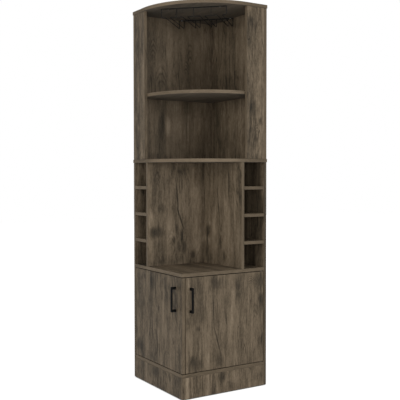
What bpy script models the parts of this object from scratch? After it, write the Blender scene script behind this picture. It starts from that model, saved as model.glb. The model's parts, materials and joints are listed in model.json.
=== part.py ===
"""Corner bar cabinet.

A tall cabinet on a square footprint, made to stand in the corner of a room. Two back panels meet
at the room's corner. The other two sides are the fronts. From the floor up it has a cupboard
with two inset doors that meet at the free corner, a counter with a niche between two columns of
bottle cubbies, and an open upper part with a curved shelf and wire racks for stemware.

Axes: +Z up. The left front faces -X and the right front faces -Y, so the free corner of the
footprint points to -X -Y and the corner against the walls points to +X +Y. The origin lies on
the floor, under the centre of the box round the whole cabinet with its handles. All sizes are in
metres.
"""

import math

import bmesh
import bpy
from mathutils import Matrix, Vector

# Plan sizes
FOOTPRINT = 0.465            # side of the square that the panels, doors and plinth stand on
PANEL = 0.015                # back panels, stiles, partitions and plinth boards
SHELF = 0.016                # top, middle panel, shelf, counter and deck
DIVIDER = 0.015              # small boards between two cubbies
DOOR = 0.015
OVERHANG = 0.002             # top and middle panel stand out past the panels all round
CUBBY_WIDTH = 0.113          # clear width of a bottle cubby
STILE_WIDTH = 0.100          # upright boards beside the open upper part

# Heights, from the floor up
GLIDE_HEIGHT = 0.003
PLINTH_HEIGHT = 0.096
DOOR_HEIGHT = 0.428
CUBBY_HEIGHT = 0.113         # clear height of a bottle cubby
CUBBY_ROWS = 4
LOWER_BAY = 0.300            # clear height between the middle panel and the shelf
UPPER_BAY = 0.390            # clear height between the shelf and the top

# Clearances
SEAT = 0.0003                # gap left between two pieces that touch
DOOR_GAP = 0.003             # gap seen round a door
ARRIS = 0.0005               # softened edge of every board

# Door pivots: a pin pressed into the door's edge turns in a flanged bush
PIVOT_INSET = 0.012          # from the door's hinge edge to the pin's axis
PIN_DIAMETER = 0.005
PIN_GRIP = 0.016             # length of pin inside the door
PIN_REACH = 0.0085           # length of pin inside the board that holds the bush
PIN_CHAMFER = 0.0006
BUSH_DIAMETER = 0.009
BUSH_DEPTH = 0.010
FLANGE_DIAMETER = 0.013
RUNNING = 0.0003             # radial clearance of the pin in its bush

# Handles: a flat bar bent square at both ends
HANDLE_LENGTH = 0.113
HANDLE_WIDTH = 0.0085
HANDLE_BAR = 0.0065          # thickness of the bar
HANDLE_FOOT = 0.0115         # height of each foot
HANDLE_PROJECTION = 0.0243   # door face to the front of the bar
HANDLE_CORNER = 0.003        # outer corner radius
HANDLE_FILLET = 0.0015       # inner corner radius
HANDLE_DROP = 0.0445         # door's top edge to the handle's upper end
LEFT_HANDLE_INSET = 0.0574   # left door's free edge to the bar's centre line
RIGHT_HANDLE_INSET = 0.0243
SCREW_DIAMETER = 0.004
SCREW_HEAD_DIAMETER = 0.008
SCREW_HEAD_HEIGHT = 0.0024
SCREW_GRIP = 0.009           # length of screw inside the foot
SCREW_CLEARANCE = 0.0003     # radial clearance in every screw hole

# Magnetic catches under the counter and the strike plates that they hold
CATCH_LENGTH = 0.036
CATCH_HEIGHT = 0.016
CATCH_DEPTH = 0.014
CATCH_INSET = 0.0475         # from the other door's inner face to the catch's centre
CATCH_MOUTH_LENGTH = 0.026   # shallow recess in front of the magnet
CATCH_MOUTH_HEIGHT = 0.007
CATCH_MOUTH_DEPTH = 0.0012
CATCH_PEG_DIAMETER = 0.005   # pegs moulded on the housing, pressed into the counter
CATCH_PEG_LENGTH = 0.009
CATCH_PEG_SPACING = 0.020
STRIKE_LENGTH = 0.026
STRIKE_HEIGHT = 0.011
STRIKE_MARGIN = 0.0015       # door's top edge to the plate
STRIKE_THICKNESS = 0.0012
STRIKE_CHAMFER = 0.002       # cut corners of the plate
STRIKE_PIN_DIAMETER = 0.004  # pin on the plate's back, pressed into the door
STRIKE_PIN_LENGTH = 0.009

# Stemware rack: wire hairpins and two side wires hang from two cross bars under the top. A glass
# slides into a slot between two neighbours and hangs there by its foot.
RAIL_COUNT = 3
SLOT_PITCH = 0.083
SLOT_WIDTH = 0.023           # between the two wires that carry a glass, centre to centre
END_MOUTH = 0.072            # from the last hairpin's hanger to the side wire's, for a glass's foot
RAIL_WIRE = 0.0036
HANGER_WIRE = 0.0032
RAIL_DROP = 0.042            # top's underside to the middle of the rails' wire
RAIL_BEND = 0.009            # radius of every bend, at the middle of the wire
BAR_WIRE = 0.0045
BAR_REACH = 0.003            # bar beyond the middle of the outermost wire
RACK_LENGTH = 0.269          # between the cross bars
RACK_WALL_GAP = 0.0036       # back bar's ends to the back panels
EYELET_DIAMETER = 0.012
EYELET_THICKNESS = 0.0016
EYELET_DROP = 0.0004         # eyelet's top below the bar's top
RACK_SCREW_DIAMETER = 0.0035
RACK_SCREW_HEAD = 0.0075
RACK_SCREW_HEAD_HEIGHT = 0.0022
RACK_SCREW_GRIP = 0.011      # length of screw inside the top

# Floor glides: plastic heads on short nails
GLIDE_DIAMETER = 0.013
GLIDE_EDGE = 0.001
GLIDE_NAIL = 0.0022
GLIDE_NAIL_LENGTH = 0.012
GLIDE_INSET = 0.040          # from the footprint's corner

# Facets
ARC_SEGMENTS = 40
ROUND_SIDES = 20
WIRE_SIDES = 8
BEND_SEGMENTS = 8
CORNER_SEGMENTS = 3
SMOOTH_ANGLE = math.radians(40)
OVERRUN = 0.002              # how far a cutter passes the face that it opens

# Plan places, from the footprint's centre
half = FOOTPRINT / 2
wall = half - PANEL                                   # inner faces of the back panels
cubby_face = wall - CUBBY_WIDTH                       # cubby side of the partitions
niche_face = cubby_face - PANEL
stile_edge = wall - STILE_WIDTH
door_back = half - DOOR                               # inner faces of the doors
door_edge = wall - DOOR_GAP                           # hinge edges of the doors

# Levels
plinth_top = GLIDE_HEIGHT + PLINTH_HEIGHT
deck_top = plinth_top + SHELF
door_base = deck_top + DOOR_GAP
door_top = door_base + DOOR_HEIGHT
counter_base = door_top + DOOR_GAP
counter_top = counter_base + SHELF
middle_base = counter_top + CUBBY_ROWS * CUBBY_HEIGHT + (CUBBY_ROWS - 1) * DIVIDER
middle_top = middle_base + SHELF
shelf_base = middle_top + LOWER_BAY
shelf_top = shelf_base + SHELF
top_base = shelf_top + UPPER_BAY
height = top_base + SHELF

magnet_level = door_top - STRIKE_MARGIN - STRIKE_HEIGHT / 2
hanger_top = -SEAT - BAR_WIRE - SEAT                  # from the top's underside

# The handles stick out of both fronts, so the box round the cabinet isn't centred on the footprint
box_shift = (HANDLE_PROJECTION + SEAT - OVERHANG) / 2


def clear_scene():
    for obj in list(bpy.data.objects):
        bpy.data.objects.remove(obj, do_unlink=True)


def finish(name, colour, roughness, metallic=0.0):
    """A Principled material."""
    material = bpy.data.materials.new(name)
    material.use_nodes = True
    shader = material.node_tree.nodes["Principled BSDF"]
    shader.inputs["Base Color"].default_value = (*colour, 1.0)
    shader.inputs["Roughness"].default_value = roughness
    shader.inputs["Metallic"].default_value = metallic
    return material


def empty(name, location, turn=0.0, parent=None):
    """A frame for the pieces that share a place or an axis."""
    obj = bpy.data.objects.new(name, None)
    obj.location = location
    obj.rotation_euler = (0.0, 0.0, turn)
    obj.parent = parent
    bpy.context.scene.collection.objects.link(obj)
    return obj


def make_object(name, bm, material, parent, smooth=False):
    bmesh.ops.recalc_face_normals(bm, faces=bm.faces)
    mesh = bpy.data.meshes.new(name)
    bm.to_mesh(mesh)
    bm.free()
    if smooth:
        mesh.shade_smooth()
        mesh.set_sharp_from_angle(angle=SMOOTH_ANGLE)
    obj = bpy.data.objects.new(name, mesh)
    obj.parent = parent
    if material is not None:
        mesh.materials.append(material)
    bpy.context.scene.collection.objects.link(obj)
    return obj


def add_prism(bm, outline, low, high):
    """Extrude a closed outline of (x, y) points from one height to another."""
    base = bm.faces.new([bm.verts.new((x, y, low)) for x, y in outline])
    raised = bmesh.ops.extrude_face_region(bm, geom=[base])["geom"]
    lifted = [item for item in raised if isinstance(item, bmesh.types.BMVert)]
    bmesh.ops.translate(bm, verts=lifted, vec=(0.0, 0.0, high - low))


def add_box(bm, low, high):
    outline = [(low[0], low[1]), (high[0], low[1]), (high[0], high[1]), (low[0], high[1])]
    add_prism(bm, outline, low[2], high[2])


def add_cylinder(bm, start, end, diameter, sides=ROUND_SIDES):
    start, end = Vector(start), Vector(end)
    along = end - start
    turn = along.to_track_quat("Z", "Y").to_matrix().to_4x4()
    bmesh.ops.create_cone(bm, cap_ends=True, segments=sides, radius1=diameter / 2,
                          radius2=diameter / 2, depth=along.length,
                          matrix=Matrix.Translation((start + end) / 2) @ turn)


def add_turned(bm, profile, centre=(0.0, 0.0), sides=ROUND_SIDES, hollow=False):
    """Turn a profile of (radius, height) points about a vertical axis.

    An open profile runs from one end to the other, and both ends are capped. A hollow one is
    closed on itself and keeps its bore.
    """
    rings = []
    for radius, level in profile:
        ring = []
        for k in range(sides):
            angle = 2 * math.pi * k / sides
            ring.append(bm.verts.new((centre[0] + radius * math.cos(angle),
                                      centre[1] + radius * math.sin(angle), level)))
        rings.append(ring)
    pairs = list(zip(rings, rings[1:]))
    if hollow:
        pairs.append((rings[-1], rings[0]))
    else:
        bm.faces.new(rings[0])
        bm.faces.new(rings[-1])
    for lower, upper in pairs:
        for k in range(sides):
            after = (k + 1) % sides
            bm.faces.new((lower[k], lower[after], upper[after], upper[k]))


def bent_path(corners, radius):
    """Points of a path through square corners, each rounded to the same radius."""
    corners = [Vector(corner) for corner in corners]
    points = [corners[0]]
    for before, corner, after in zip(corners, corners[1:], corners[2:]):
        back = (before - corner).normalized() * radius
        on = (after - corner).normalized() * radius
        for j in range(BEND_SEGMENTS + 1):
            angle = math.radians(90) * j / BEND_SEGMENTS
            points.append(corner + back * (1 - math.sin(angle)) + on * (1 - math.cos(angle)))
    points.append(corners[-1])
    return points


def add_wire(bm, points, diameter, sides=WIRE_SIDES):
    """Sweep a round section along a path without twisting it."""
    rings = []
    ahead = side = None
    for k, point in enumerate(points):
        heading = (points[min(k + 1, len(points) - 1)] - points[max(k - 1, 0)]).normalized()
        side = ahead.rotation_difference(heading) @ side if rings else heading.orthogonal().normalized()
        ahead = heading
        other = ahead.cross(side)
        ring = []
        for j in range(sides):
            angle = 2 * math.pi * j / sides
            offset = side * math.cos(angle) + other * math.sin(angle)
            ring.append(bm.verts.new(point + offset * diameter / 2))
        rings.append(ring)
    bm.faces.new(rings[0])
    bm.faces.new(rings[-1])
    for first, second in zip(rings, rings[1:]):
        for j in range(sides):
            i = (j + 1) % sides
            bm.faces.new((first[j], first[i], second[i], second[j]))


def arc(centre, radius, start, end, segments):
    """Points of an arc, angles in degrees."""
    points = []
    for k in range(segments + 1):
        angle = math.radians(start + (end - start) * k / segments)
        points.append((centre[0] + radius * math.cos(angle), centre[1] + radius * math.sin(angle)))
    return points


def soften(obj):
    """Take the sharp arris off a board."""
    bevel = obj.modifiers.new("arris", "BEVEL")
    bevel.width = ARRIS
    bevel.segments = 1
    bevel.limit_method = "ANGLE"
    bevel.angle_limit = SMOOTH_ANGLE


def combine(obj, bm, operation, name):
    """Join or cut an object with a second shape, which stays as a hidden guide."""
    guide = make_object(name, bm, None, obj.parent)
    guide.matrix_basis = obj.matrix_basis.copy()
    guide.hide_render = True
    guide.display_type = "WIRE"
    modifier = obj.modifiers.new(name, "BOOLEAN")
    modifier.operation = operation
    modifier.solver = "EXACT"
    modifier.object = guide


def cut(obj, bm):
    combine(obj, bm, "DIFFERENCE", obj.name + "_cutter")


def join(obj, bm):
    combine(obj, bm, "UNION", obj.name + "_joined")


def board(name, low, high, material, parent):
    """A square-edged board, half a seat gap inside its nominal box on every side."""
    inset = Vector((SEAT / 2, SEAT / 2, SEAT / 2))
    bm = bmesh.new()
    add_box(bm, Vector(low) + inset, Vector(high) - inset)
    obj = make_object(name, bm, material, parent)
    soften(obj)
    return obj


def curved_board(name, edge, low, high, material, parent):
    """A square board whose free corner is rounded off between the two stiles.

    edge is the half side of its square. The curve runs square into both straight fronts.
    """
    outline = [(edge, edge), (-edge, edge)]
    outline += arc((stile_edge, stile_edge), edge + stile_edge, 180, 270, ARC_SEGMENTS)
    outline += [(edge, -edge)]
    bm = bmesh.new()
    add_prism(bm, outline, low + SEAT / 2, high - SEAT / 2)
    obj = make_object(name, bm, material, parent)
    soften(obj)
    return obj


def carcass(root, wood):
    """The fixed boards. Returns those that are drilled later, by name."""
    boards = {}

    def fixed(name, low, high):
        boards[name] = board(name, low, high, wood, root)

    # Back panels: the right one covers the end of the left one
    for part, low, high in (("lower", GLIDE_HEIGHT, middle_base), ("upper", middle_top, top_base)):
        fixed("back_left_" + part + "_panel", (-half, wall, low), (wall, half, high))
        fixed("back_right_" + part + "_panel", (wall, -half, low), (half, half, high))

    # Base: two plinth boards carry the deck, and the counter closes the cupboard. The right board
    # covers the left one's end.
    fixed("left_plinth_board", (-half, -wall, GLIDE_HEIGHT), (-wall, wall, plinth_top))
    fixed("right_plinth_board", (-half, -half, GLIDE_HEIGHT), (wall, -wall, plinth_top))
    fixed("deck_panel", (-half, -half, plinth_top), (wall, wall, deck_top))
    fixed("counter_panel", (-half, -half, counter_base), (wall, wall, counter_top))

    # Niche and cubbies: the right partition runs to the back, and the left one meets it
    fixed("left_partition", (-half, niche_face, counter_top), (niche_face, cubby_face, middle_base))
    fixed("right_partition", (niche_face, -half, counter_top), (cubby_face, wall, middle_base))
    for row in range(1, CUBBY_ROWS):
        low = counter_top + row * CUBBY_HEIGHT + (row - 1) * DIVIDER
        high = low + DIVIDER
        fixed("left_divider_%d" % row, (-half, cubby_face, low), (niche_face, wall, high))
        fixed("right_divider_%d" % row, (cubby_face, -half, low), (wall, wall, high))

    # Upper part
    fixed("upper_left_stile", (-half, stile_edge, middle_top), (-wall, wall, top_base))
    fixed("upper_right_stile", (stile_edge, -half, middle_top), (wall, -wall, top_base))
    edge = half + OVERHANG
    for name, reach, low, high in (("middle_panel", edge, middle_base, middle_top),
                                   ("upper_shelf", wall - SEAT / 2, shelf_base, shelf_top),
                                   ("top_panel", edge, top_base, height)):
        boards[name] = curved_board(name, reach, low, high, wood, root)
    return boards


def floor_glides(root, boards, plastic):
    """Five nail-on glides under the outer boards, with their nails in drilled holes."""
    near = half - GLIDE_INSET
    middle = half - PANEL / 2
    places = {"left_plinth_board": [(-middle, -near)],
              "right_plinth_board": [(-near, -middle)],
              "back_left_lower_panel": [(-near, middle)],
              "back_right_lower_panel": [(middle, -near), (middle, near)]}
    seat = GLIDE_HEIGHT - SEAT / 2
    nail_tip = seat + GLIDE_NAIL_LENGTH
    profile = [(GLIDE_DIAMETER / 2 - GLIDE_EDGE, 0.0),
               (GLIDE_DIAMETER / 2, GLIDE_EDGE),
               (GLIDE_DIAMETER / 2, seat),
               (GLIDE_NAIL / 2, seat),
               (GLIDE_NAIL / 2, nail_tip)]
    count = 0
    for name, points in places.items():
        holes = bmesh.new()
        for x, y in points:
            count += 1
            bm = bmesh.new()
            add_turned(bm, profile, (x, y))
            make_object("floor_glide_%d" % count, bm, plastic, root, smooth=True)
            add_cylinder(holes, (x, y, GLIDE_HEIGHT - OVERRUN), (x, y, nail_tip + SCREW_CLEARANCE),
                         GLIDE_NAIL + 2 * SCREW_CLEARANCE, WIRE_SIDES)
        cut(boards[name], holes)


def handle(name, parent, inset_from_axis, inward, black):
    """A square-bent bar with a blind screw hole in each foot."""
    base = SEAT
    front = HANDLE_PROJECTION + SEAT
    back = front - HANDLE_BAR
    end = HANDLE_LENGTH / 2
    foot = end - HANDLE_FOOT
    outline = [(end, base)]
    outline += arc((end - HANDLE_CORNER, front - HANDLE_CORNER), HANDLE_CORNER, 0, 90, CORNER_SEGMENTS)
    outline += arc((HANDLE_CORNER - end, front - HANDLE_CORNER), HANDLE_CORNER, 90, 180,
                   CORNER_SEGMENTS)
    outline += [(-end, base), (-foot, base)]
    outline += arc((HANDLE_FILLET - foot, back - HANDLE_FILLET), HANDLE_FILLET, 180, 90,
                   CORNER_SEGMENTS)
    outline += arc((foot - HANDLE_FILLET, back - HANDLE_FILLET), HANDLE_FILLET, 90, 0,
                   CORNER_SEGMENTS)
    outline += [(foot, base)]
    bm = bmesh.new()
    add_prism(bm, outline, -HANDLE_WIDTH / 2, HANDLE_WIDTH / 2)
    obj = make_object(name, bm, black, parent)
    soften(obj)
    # The outline's first axis stands upright and its second points out of the door
    centre = (inset_from_axis, -inward * DOOR / 2, door_top - HANDLE_DROP - end)
    obj.matrix_basis = Matrix.Translation(centre) @ Matrix(((0, 0, inward, 0), (0, -inward, 0, 0),
                                                            (1, 0, 0, 0), (0, 0, 0, 1)))
    holes = bmesh.new()
    for level in handle_feet():
        add_cylinder(holes, (level, base - OVERRUN, 0.0),
                     (level, base + SCREW_GRIP + SCREW_CLEARANCE, 0.0),
                     SCREW_DIAMETER + 2 * SCREW_CLEARANCE)
    cut(obj, holes)
    return obj


def handle_feet():
    """Levels of the two feet's centres, from the handle's own centre."""
    reach = (HANDLE_LENGTH - HANDLE_FOOT) / 2
    return (reach, -reach)


def door(side, root, turn, axis, width, handle_inset, strike_x, inward, finishes):
    """One inset door with its pins, handle and screws, about an axis at its hinge edge.

    In the door's frame X runs from the axis to the free edge, and inward is the sign of Y on the
    side of the cupboard.
    """
    frame = empty(side + "_door_axis", axis, turn, root)
    hinge_edge = -PIVOT_INSET
    free_edge = width - PIVOT_INSET
    leaf = board(side + "_door", (hinge_edge, -DOOR / 2, door_base), (free_edge, DOOR / 2, door_top),
                 finishes["wood"], frame)
    cutters = bmesh.new()

    # Pivot pins in the top and bottom edges
    radius = PIN_DIAMETER / 2
    for end, outer, up in (("upper", door_top, 1), ("lower", door_base, -1)):
        root_end = outer - up * PIN_GRIP
        tip = outer + up * (DOOR_GAP + PIN_REACH)
        profile = [(radius - PIN_CHAMFER, root_end), (radius, root_end + up * PIN_CHAMFER),
                   (radius, tip - up * PIN_CHAMFER), (radius - PIN_CHAMFER, tip)]
        bm = bmesh.new()
        add_turned(bm, profile)
        make_object("%s_door_%s_pin" % (side, end), bm, finishes["steel"], frame, smooth=True)
        add_cylinder(cutters, (0.0, 0.0, root_end - up * SEAT), (0.0, 0.0, outer + up * OVERRUN),
                     PIN_DIAMETER + 2 * SEAT)

    # Seat of the strike plate's pin, bored from the inner face
    inner_face = inward * DOOR / 2
    add_cylinder(cutters, (strike_x, inner_face + inward * OVERRUN, magnet_level),
                 (strike_x, inner_face - inward * (STRIKE_PIN_LENGTH + SEAT), magnet_level),
                 STRIKE_PIN_DIAMETER + 2 * SEAT)

    # Handle, and its screws through the door
    handle_x = free_edge - handle_inset
    handle(side + "_handle", frame, handle_x, inward, finishes["black"])
    centre = door_top - HANDLE_DROP - HANDLE_LENGTH / 2
    outer_face = -inner_face
    for end, level in zip(("upper", "lower"), handle_feet()):
        z = centre + level
        bm = bmesh.new()
        head = inner_face + inward * SEAT
        add_cylinder(bm, (handle_x, head, z), (handle_x, head + inward * SCREW_HEAD_HEIGHT, z),
                     SCREW_HEAD_DIAMETER)
        screw = make_object("%s_handle_%s_screw" % (side, end), bm, finishes["steel"], frame,
                            smooth=True)
        shank = bmesh.new()
        tip = outer_face - inward * (SEAT + SCREW_GRIP)
        add_cylinder(shank, (handle_x, head + inward * SCREW_HEAD_HEIGHT / 2, z), (handle_x, tip, z),
                     SCREW_DIAMETER)
        join(screw, shank)
        add_cylinder(cutters, (handle_x, outer_face - inward * OVERRUN, z),
                     (handle_x, inner_face + inward * OVERRUN, z), SCREW_DIAMETER + 2 * SCREW_CLEARANCE)
    cut(leaf, cutters)
    return frame


def strike_plate(side, frame, x, inward, steel):
    """A thin steel plate with a pin, pressed into the door's inner face."""
    face = inward * (DOOR / 2 + SEAT)
    end, side_edge = STRIKE_LENGTH / 2, STRIKE_HEIGHT / 2
    outline = [(-end + STRIKE_CHAMFER, -side_edge), (end - STRIKE_CHAMFER, -side_edge),
               (end, -side_edge + STRIKE_CHAMFER), (end, side_edge - STRIKE_CHAMFER),
               (end - STRIKE_CHAMFER, side_edge), (-end + STRIKE_CHAMFER, side_edge),
               (-end, side_edge - STRIKE_CHAMFER), (-end, -side_edge + STRIKE_CHAMFER)]
    bm = bmesh.new()
    add_prism(bm, outline, 0.0, STRIKE_THICKNESS)
    plate = make_object(side + "_strike_plate", bm, steel, frame, smooth=True)
    # The plate's third axis points into the cupboard
    plate.matrix_basis = Matrix.Translation((x, face, magnet_level)) @ Matrix(
        ((inward, 0, 0, 0), (0, 0, inward, 0), (0, -1, 0, 0), (0, 0, 0, 1)))
    pin = bmesh.new()
    add_cylinder(pin, (0.0, 0.0, STRIKE_THICKNESS / 2), (0.0, 0.0, SEAT - STRIKE_PIN_LENGTH),
                 STRIKE_PIN_DIAMETER)
    join(plate, pin)


def magnet_catch(side, root, place, turn, black, counter_holes):
    """A housing under the counter, held by two pegs, with its mouth towards the door.

    In its own frame X runs along the door and +Y points away from it.
    """
    frame = empty(side + "_catch_place", (*place, 0.0), turn, root)
    top = counter_base - SEAT / 2
    base = top - CATCH_HEIGHT
    near = DOOR / 2 + 2 * SEAT + STRIKE_THICKNESS
    middle = near + CATCH_DEPTH / 2
    end = CATCH_LENGTH / 2
    bm = bmesh.new()
    add_box(bm, (-end, near, base), (end, near + CATCH_DEPTH, top))
    obj = make_object(side + "_magnet_catch", bm, black, frame)
    soften(obj)
    pegs = bmesh.new()
    place_matrix = Matrix.Translation((*place, 0.0)) @ Matrix.Rotation(turn, 4, "Z")
    for x in (-CATCH_PEG_SPACING / 2, CATCH_PEG_SPACING / 2):
        tip = top + CATCH_PEG_LENGTH
        add_cylinder(pegs, (x, middle, top - OVERRUN), (x, middle, tip), CATCH_PEG_DIAMETER)
        peg_x, peg_y, _ = place_matrix @ Vector((x, middle, 0.0))
        add_cylinder(counter_holes, (peg_x, peg_y, counter_base - OVERRUN), (peg_x, peg_y, tip + SEAT),
                     CATCH_PEG_DIAMETER + 2 * SEAT)
    join(obj, pegs)
    mouth = bmesh.new()
    half_length, half_height = CATCH_MOUTH_LENGTH / 2, CATCH_MOUTH_HEIGHT / 2
    add_box(mouth, (-half_length, near - OVERRUN, magnet_level - half_height),
            (half_length, near + CATCH_MOUTH_DEPTH, magnet_level + half_height))
    cut(obj, mouth)


def pivot_bushes(side, root, axis, holes, plastic):
    """The flanged bushes that the door's pins turn in, pressed into the counter and the deck."""
    bore = PIN_DIAMETER / 2 + RUNNING
    sleeve = BUSH_DIAMETER / 2
    flange = FLANGE_DIAMETER / 2
    thickness = DOOR_GAP - SEAT - SEAT / 2
    for end, name, face, up in (("upper", "counter_panel", counter_base, 1),
                                ("lower", "deck_panel", deck_top, -1)):
        seat = face - up * SEAT / 2
        rim = seat - up * thickness
        depth = face + up * BUSH_DEPTH
        profile = [(bore, rim), (flange, rim), (flange, seat), (sleeve, seat), (sleeve, depth),
                   (bore, depth)]
        bm = bmesh.new()
        add_turned(bm, profile, axis, hollow=True)
        make_object("%s_%s_bush" % (side, end), bm, plastic, root, smooth=True)
        add_cylinder(holes[name], (*axis, face - up * OVERRUN), (*axis, depth + up * SEAT),
                     BUSH_DIAMETER + 2 * SEAT)


def glass_rack(root, top, black, steel):
    """Wire rails under the top, running from the free corner towards the walls' corner.

    In the rack's frame X runs to the walls' corner, and heights count from the top's underside.
    """
    turn = math.radians(45)
    frame = empty("glass_rack_place", (0.0, 0.0, top_base), turn, root)
    outer_slot = RAIL_COUNT * SLOT_PITCH / 2
    side_wire = outer_slot + SLOT_WIDTH / 2
    side_hanger = outer_slot - SLOT_PITCH / 2 + END_MOUTH
    front_half = side_hanger + BAR_REACH
    back_half = side_wire + BAR_REACH
    back = math.sqrt(2) * wall - back_half - RACK_WALL_GAP
    front = back - RACK_LENGTH
    bar_level = -SEAT - BAR_WIRE / 2
    eyelet_top = -SEAT - EYELET_DROP
    eyelet_base = eyelet_top - EYELET_THICKNESS
    screw_holes = bmesh.new()
    count = 0
    for name, x, reach, inward in (("front", front, front_half, 1), ("back", back, back_half, -1)):
        bm = bmesh.new()
        add_cylinder(bm, (x, -reach, bar_level), (x, reach, bar_level), BAR_WIRE, 2 * WIRE_SIDES)
        bar = make_object("glass_rack_%s_bar" % name, bm, black, frame, smooth=True)
        eyelets, holes = bmesh.new(), bmesh.new()
        eye_x = x + inward * EYELET_DIAMETER / 2
        for y in (-outer_slot, outer_slot):
            count += 1
            add_cylinder(eyelets, (eye_x, y, eyelet_base), (eye_x, y, eyelet_top), EYELET_DIAMETER)
            hole = RACK_SCREW_DIAMETER + 2 * SCREW_CLEARANCE
            add_cylinder(holes, (eye_x, y, eyelet_base - OVERRUN), (eye_x, y, eyelet_top + OVERRUN), hole)
            head = eyelet_base - SEAT
            tip = -SEAT / 2 + RACK_SCREW_GRIP
            profile = [(RACK_SCREW_HEAD / 4, head - RACK_SCREW_HEAD_HEIGHT),
                       (RACK_SCREW_HEAD / 2, head - RACK_SCREW_HEAD_HEIGHT / 2),
                       (RACK_SCREW_HEAD / 2, head),
                       (RACK_SCREW_DIAMETER / 2, head),
                       (RACK_SCREW_DIAMETER / 2, tip - RACK_SCREW_DIAMETER / 2),
                       (RACK_SCREW_DIAMETER / 8, tip)]
            screw = bmesh.new()
            add_turned(screw, profile, (eye_x, y))
            make_object("glass_rack_screw_%d" % count, screw, steel, frame, smooth=True)
            add_cylinder(screw_holes, (eye_x, y, -OVERRUN), (eye_x, y, tip + SCREW_CLEARANCE), hole)
        join(bar, eyelets)
        cut(bar, holes)
    for k in range(RAIL_COUNT):
        y = (k - (RAIL_COUNT - 1) / 2) * SLOT_PITCH
        wire_rail("glass_rack_rail_%d" % (k + 1), frame, front, back, y, black)
    for k, way in enumerate((-1, 1)):
        corners = [(front, way * side_hanger, hanger_top), (front, way * side_hanger, -RAIL_DROP),
                   (front, way * side_wire, -RAIL_DROP), (back, way * side_wire, -RAIL_DROP),
                   (back, way * side_wire, hanger_top)]
        bm = bmesh.new()
        add_wire(bm, bent_path(corners, RAIL_BEND), RAIL_WIRE)
        make_object("glass_rack_side_wire_%d" % (k + 1), bm, black, frame, smooth=True)
    # The top is drilled in the footprint's frame, so the holes are turned with the rack
    bmesh.ops.transform(screw_holes, verts=screw_holes.verts,
                        matrix=Matrix.Translation((0.0, 0.0, top_base)) @ Matrix.Rotation(turn, 4, "Z"))
    cut(top, screw_holes)


def wire_rail(name, frame, front, back, y, black):
    """A hairpin of wire: both ends turn up to the back bar, and a hanger holds its front."""
    level = -RAIL_DROP
    reach = (SLOT_PITCH - SLOT_WIDTH) / 2
    corners = [(back, y - reach, hanger_top), (back, y - reach, level), (front, y - reach, level),
               (front, y + reach, level), (back, y + reach, level), (back, y + reach, hanger_top)]
    bm = bmesh.new()
    add_wire(bm, bent_path(corners, RAIL_BEND), RAIL_WIRE)
    rail = make_object(name, bm, black, frame, smooth=True)
    hanger = bmesh.new()
    add_cylinder(hanger, (front, y, level + RAIL_WIRE / 8), (front, y, hanger_top), HANGER_WIRE,
                 2 * WIRE_SIDES)
    join(rail, hanger)


def build():
    clear_scene()
    finishes = {"wood": finish("grey_brown_oak", (0.095, 0.078, 0.060), 0.62),
                "black": finish("black_powder_coat", (0.012, 0.012, 0.013), 0.45),
                "steel": finish("zinc_plated_steel", (0.55, 0.55, 0.56), 0.35, 1.0),
                "plastic": finish("brown_nylon", (0.035, 0.028, 0.021), 0.5)}
    root = empty("footprint_centre", (box_shift, box_shift, 0.0))
    boards = carcass(root, finishes["wood"])
    floor_glides(root, boards, finishes["plastic"])

    # Doors: the left one covers the free corner, and the right one closes behind it
    axis_inset = door_edge - PIVOT_INSET
    front = -(half - DOOR / 2)
    left_axis = (front, axis_inset)
    right_axis = (axis_inset, front)
    left_width = door_edge + half
    right_width = door_edge + door_back - DOOR_GAP
    catch = -door_back + CATCH_INSET
    strike_x = axis_inset - catch
    left = door("left", root, math.radians(-90), (*left_axis, 0.0), left_width, LEFT_HANDLE_INSET,
                strike_x, 1, finishes)
    right = door("right", root, math.radians(180), (*right_axis, 0.0), right_width,
                 RIGHT_HANDLE_INSET, strike_x, -1, finishes)
    strike_plate("left", left, strike_x, 1, finishes["steel"])
    strike_plate("right", right, strike_x, -1, finishes["steel"])

    # The bushes and the catches sit in holes of the counter and the deck
    holes = {"counter_panel": bmesh.new(), "deck_panel": bmesh.new()}
    pivot_bushes("left", root, left_axis, holes, finishes["plastic"])
    pivot_bushes("right", root, right_axis, holes, finishes["plastic"])
    magnet_catch("left", root, (front, catch), math.radians(-90), finishes["black"],
                 holes["counter_panel"])
    magnet_catch("right", root, (catch, front), 0.0, finishes["black"], holes["counter_panel"])
    for name, hole in holes.items():
        cut(boards[name], hole)

    glass_rack(root, boards["top_panel"], finishes["black"], finishes["steel"])


build()
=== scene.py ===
"""Looks of the corner bar cabinet.

Every board carries a printed grey-brown oak, built from shader nodes in real sizes. The boards have
their own stretches of it, but the plinth boards carry on the doors' stretches, and most of the boards
that show have marks of their own, some of which are painted shade and painted light. The undersides
of the level boards are lightened as painted bounce light, and the sealed ends of the upright ones are
darkened as painted shade. The handles have a black powder coat and the rack a slightly paler one. The
screws, the strike plates and the catches' magnets are modelled here in more detail than the solids
have. Sizes are in metres, in the frame of the solids, but the tables of marks count in millimetres.
"""

import json
import math

import bmesh
import bpy
from mathutils import Matrix, Vector


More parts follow.
